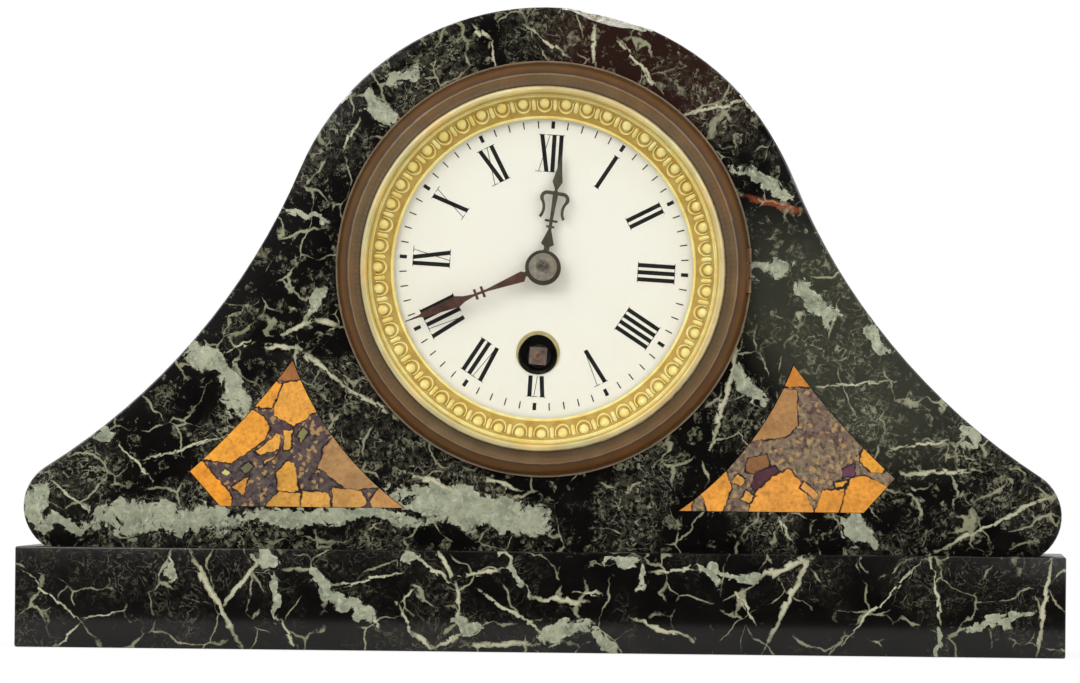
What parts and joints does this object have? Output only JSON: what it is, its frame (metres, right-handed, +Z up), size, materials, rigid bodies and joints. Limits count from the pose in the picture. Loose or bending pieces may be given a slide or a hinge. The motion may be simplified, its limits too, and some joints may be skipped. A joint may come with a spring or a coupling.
{
  "type": "marble mantel clock",
  "caption": "Hat-shaped marble mantel clock with inlaid panels, hinged glazed bezel, enamel dial, pierced hands and a spring-driven lever movement wound from the front.",
  "frame": {"origin": "middle of the plinth's underside, on the surface the clock stands on", "axes": "+X to the right as seen from the front, +Y towards the back, +Z up"},
  "size_m": [0.282, 0.0929, 0.1735],
  "materials": {
    "black_marble": "polished, with green and cream veins",
    "breccia": "polished, orange and purple breccia",
    "iron": "dull, oxidised",
    "patinated_brass": "brown patina with a worn bright rim",
    "plain_brass": "lacquered, satin",
    "wheel_brass": "polished",
    "gilt_brass": "gilt, bright",
    "clear_glass": "clear, domed",
    "enamel": "glossy white enamel on copper",
    "copper": "bare copper",
    "hour_steel": "dark olive oxide",
    "minute_steel": "dark brown oxide",
    "bright_steel": "polished",
    "blued_steel": "blued"
  },
  "bodies": {
    "clock": {"plinth": "black_marble", "case_body": "black_marble", "inlay_left": "breccia", "inlay_right": "breccia", "tie_rods": "iron", "tie_washers": "iron", "tie_nuts": "iron", "bezel_seat": "plain_brass", "bezel_hinge_pin": "bright_steel", "straps": "plain_brass", "strap_screws": "iron", "rear_ring": "plain_brass", "door_hinge_pin": "bright_steel", "dial": "enamel", "winding_eyelet": "gilt_brass", "dial_feet": "copper", "dial_pins": "wheel_brass", "front_plate": "plain_brass", "back_plate": "plain_brass", "pillars": "plain_brass", "pillar_screws": "blued_steel", "plate_screws": "blued_steel", "click_spring": "bright_steel", "click_screws": "blued_steel", "platform_plate": "plain_brass", "hairspring": "blued_steel", "balance_cock": "plain_brass", "lever_cock": "plain_brass", "platform_screws": "blued_steel"},
    "front_bezel": {"front_bezel": "patinated_brass", "glass": "clear_glass", "sight_ring": "gilt_brass"},
    "rear_door": {"rear_door": "plain_brass", "door_knob": "plain_brass"},
    "minute_hand": {"minute_hand": "minute_steel", "hand_collet": "bright_steel", "hand_pin": "bright_steel", "centre_arbor": "bright_steel", "centre_wheel": "wheel_brass", "cannon_pinion": "bright_steel"},
    "hour_hand": {"hour_hand": "hour_steel", "hour_wheel": "wheel_brass"},
    "minute_wheel": {"minute_wheel": "wheel_brass"},
    "intermediate_wheel": {"intermediate_wheel": "wheel_brass", "intermediate_arbor": "bright_steel"},
    "barrel": {"barrel": "plain_brass", "barrel_cap": "plain_brass", "mainspring": "blued_steel"},
    "third_wheel": {"third_wheel": "wheel_brass", "third_arbor": "bright_steel"},
    "fourth_wheel": {"fourth_wheel": "wheel_brass", "fourth_arbor": "bright_steel"},
    "escape_wheel": {"escape_wheel": "wheel_brass", "escape_arbor": "bright_steel"},
    "winding_arbor": {"barrel_arbor": "bright_steel", "ratchet_wheel": "bright_steel"},
    "click": {"click": "bright_steel"},
    "pallet_lever": {"pallet_lever": "bright_steel"},
    "balance_wheel": {"balance_wheel": "wheel_brass"},
    "regulator": {"regulator": "bright_steel"}
  },
  "joints": [
    {"name": "front_bezel_hinge", "type": "hinge", "parent": "clock", "child": "front_bezel", "pos_m": [0.0544, -0.0384, 0.103], "axis": [0, 0, 1], "range_deg": [0, 110]},
    {"name": "rear_door_hinge", "type": "hinge", "parent": "clock", "child": "rear_door", "pos_m": [-0.0364, 0.0386, 0.103], "axis": [0, 0, 1], "range_deg": [0, 115]},
    {"name": "minute_hand_turn", "type": "hinge", "parent": "clock", "child": "minute_hand", "pos_m": [0, -0.036, 0.103], "axis": [0, 1, 0], "continuous": true},
    {"name": "hour_hand_turn", "type": "hinge", "parent": "clock", "child": "hour_hand", "pos_m": [0, -0.036, 0.103], "axis": [0, 1, 0], "continuous": true},
    {"name": "minute_wheel_turn", "type": "hinge", "parent": "clock", "child": "minute_wheel", "pos_m": [-0.01103, -0.03, 0.10774], "axis": [0, 1, 0], "continuous": true},
    {"name": "intermediate_wheel_turn", "type": "hinge", "parent": "clock", "child": "intermediate_wheel", "pos_m": [0.00754, -0.016, 0.09291], "axis": [0, 1, 0], "continuous": true},
    {"name": "barrel_turn", "type": "hinge", "parent": "clock", "child": "barrel", "pos_m": [-0.00133, -0.016, 0.07964], "axis": [0, 1, 0], "continuous": true},
    {"name": "third_wheel_turn", "type": "hinge", "parent": "clock", "child": "third_wheel", "pos_m": [-0.01016, -0.016, 0.10966], "axis": [0, 1, 0], "continuous": true},
    {"name": "fourth_wheel_turn", "type": "hinge", "parent": "clock", "child": "fourth_wheel", "pos_m": [-0.00063, -0.016, 0.11678], "axis": [0, 1, 0], "continuous": true},
    {"name": "escape_wheel_turn", "type": "hinge", "parent": "clock", "child": "escape_wheel", "pos_m": [0.0088, 0.002, 0.12153], "axis": [0, 1, 0], "continuous": true},
    {"name": "winding_turn", "type": "hinge", "parent": "clock", "child": "winding_arbor", "pos_m": [-0.00133, -0.031, 0.07964], "axis": [0, 1, 0], "range_deg": [0, 2160]},
    {"name": "click_lift", "type": "hinge", "parent": "clock", "child": "click", "pos_m": [0.00983, -0.028, 0.08057], "axis": [0, 1, 0], "range_deg": [0, 8], "deforming": ["click_spring"]},
    {"name": "lever_rock", "type": "hinge", "parent": "clock", "child": "pallet_lever", "pos_m": [0.00391, 0.003, 0.12181], "axis": [0, 1, 0], "range_deg": [-5, 5]},
    {"name": "balance_swing", "type": "hinge", "parent": "clock", "child": "balance_wheel", "pos_m": [-0.00168, 0.008, 0.12213], "axis": [0, 1, 0], "range_deg": [-270, 270], "stiffness_Nm_per_rad": 0.000006},
    {"name": "regulator_turn", "type": "hinge", "parent": "clock", "child": "regulator", "pos_m": [-0.00168, 0.012, 0.12213], "axis": [0, 1, 0], "range_deg": [-25, 25]}
  ],
  "couplings": [
    {"joint": "hour_hand_turn", "follows": "minute_hand_turn", "ratio": 0.083333},
    {"joint": "minute_wheel_turn", "follows": "minute_hand_turn", "ratio": -0.33333},
    {"joint": "intermediate_wheel_turn", "follows": "minute_hand_turn", "ratio": -0.2},
    {"joint": "barrel_turn", "follows": "minute_hand_turn", "ratio": 0.033333},
    {"joint": "third_wheel_turn", "follows": "minute_hand_turn", "ratio": -8},
    {"joint": "fourth_wheel_turn", "follows": "minute_hand_turn", "ratio": 60},
    {"joint": "escape_wheel_turn", "follows": "minute_hand_turn", "ratio": -600}
  ]
}
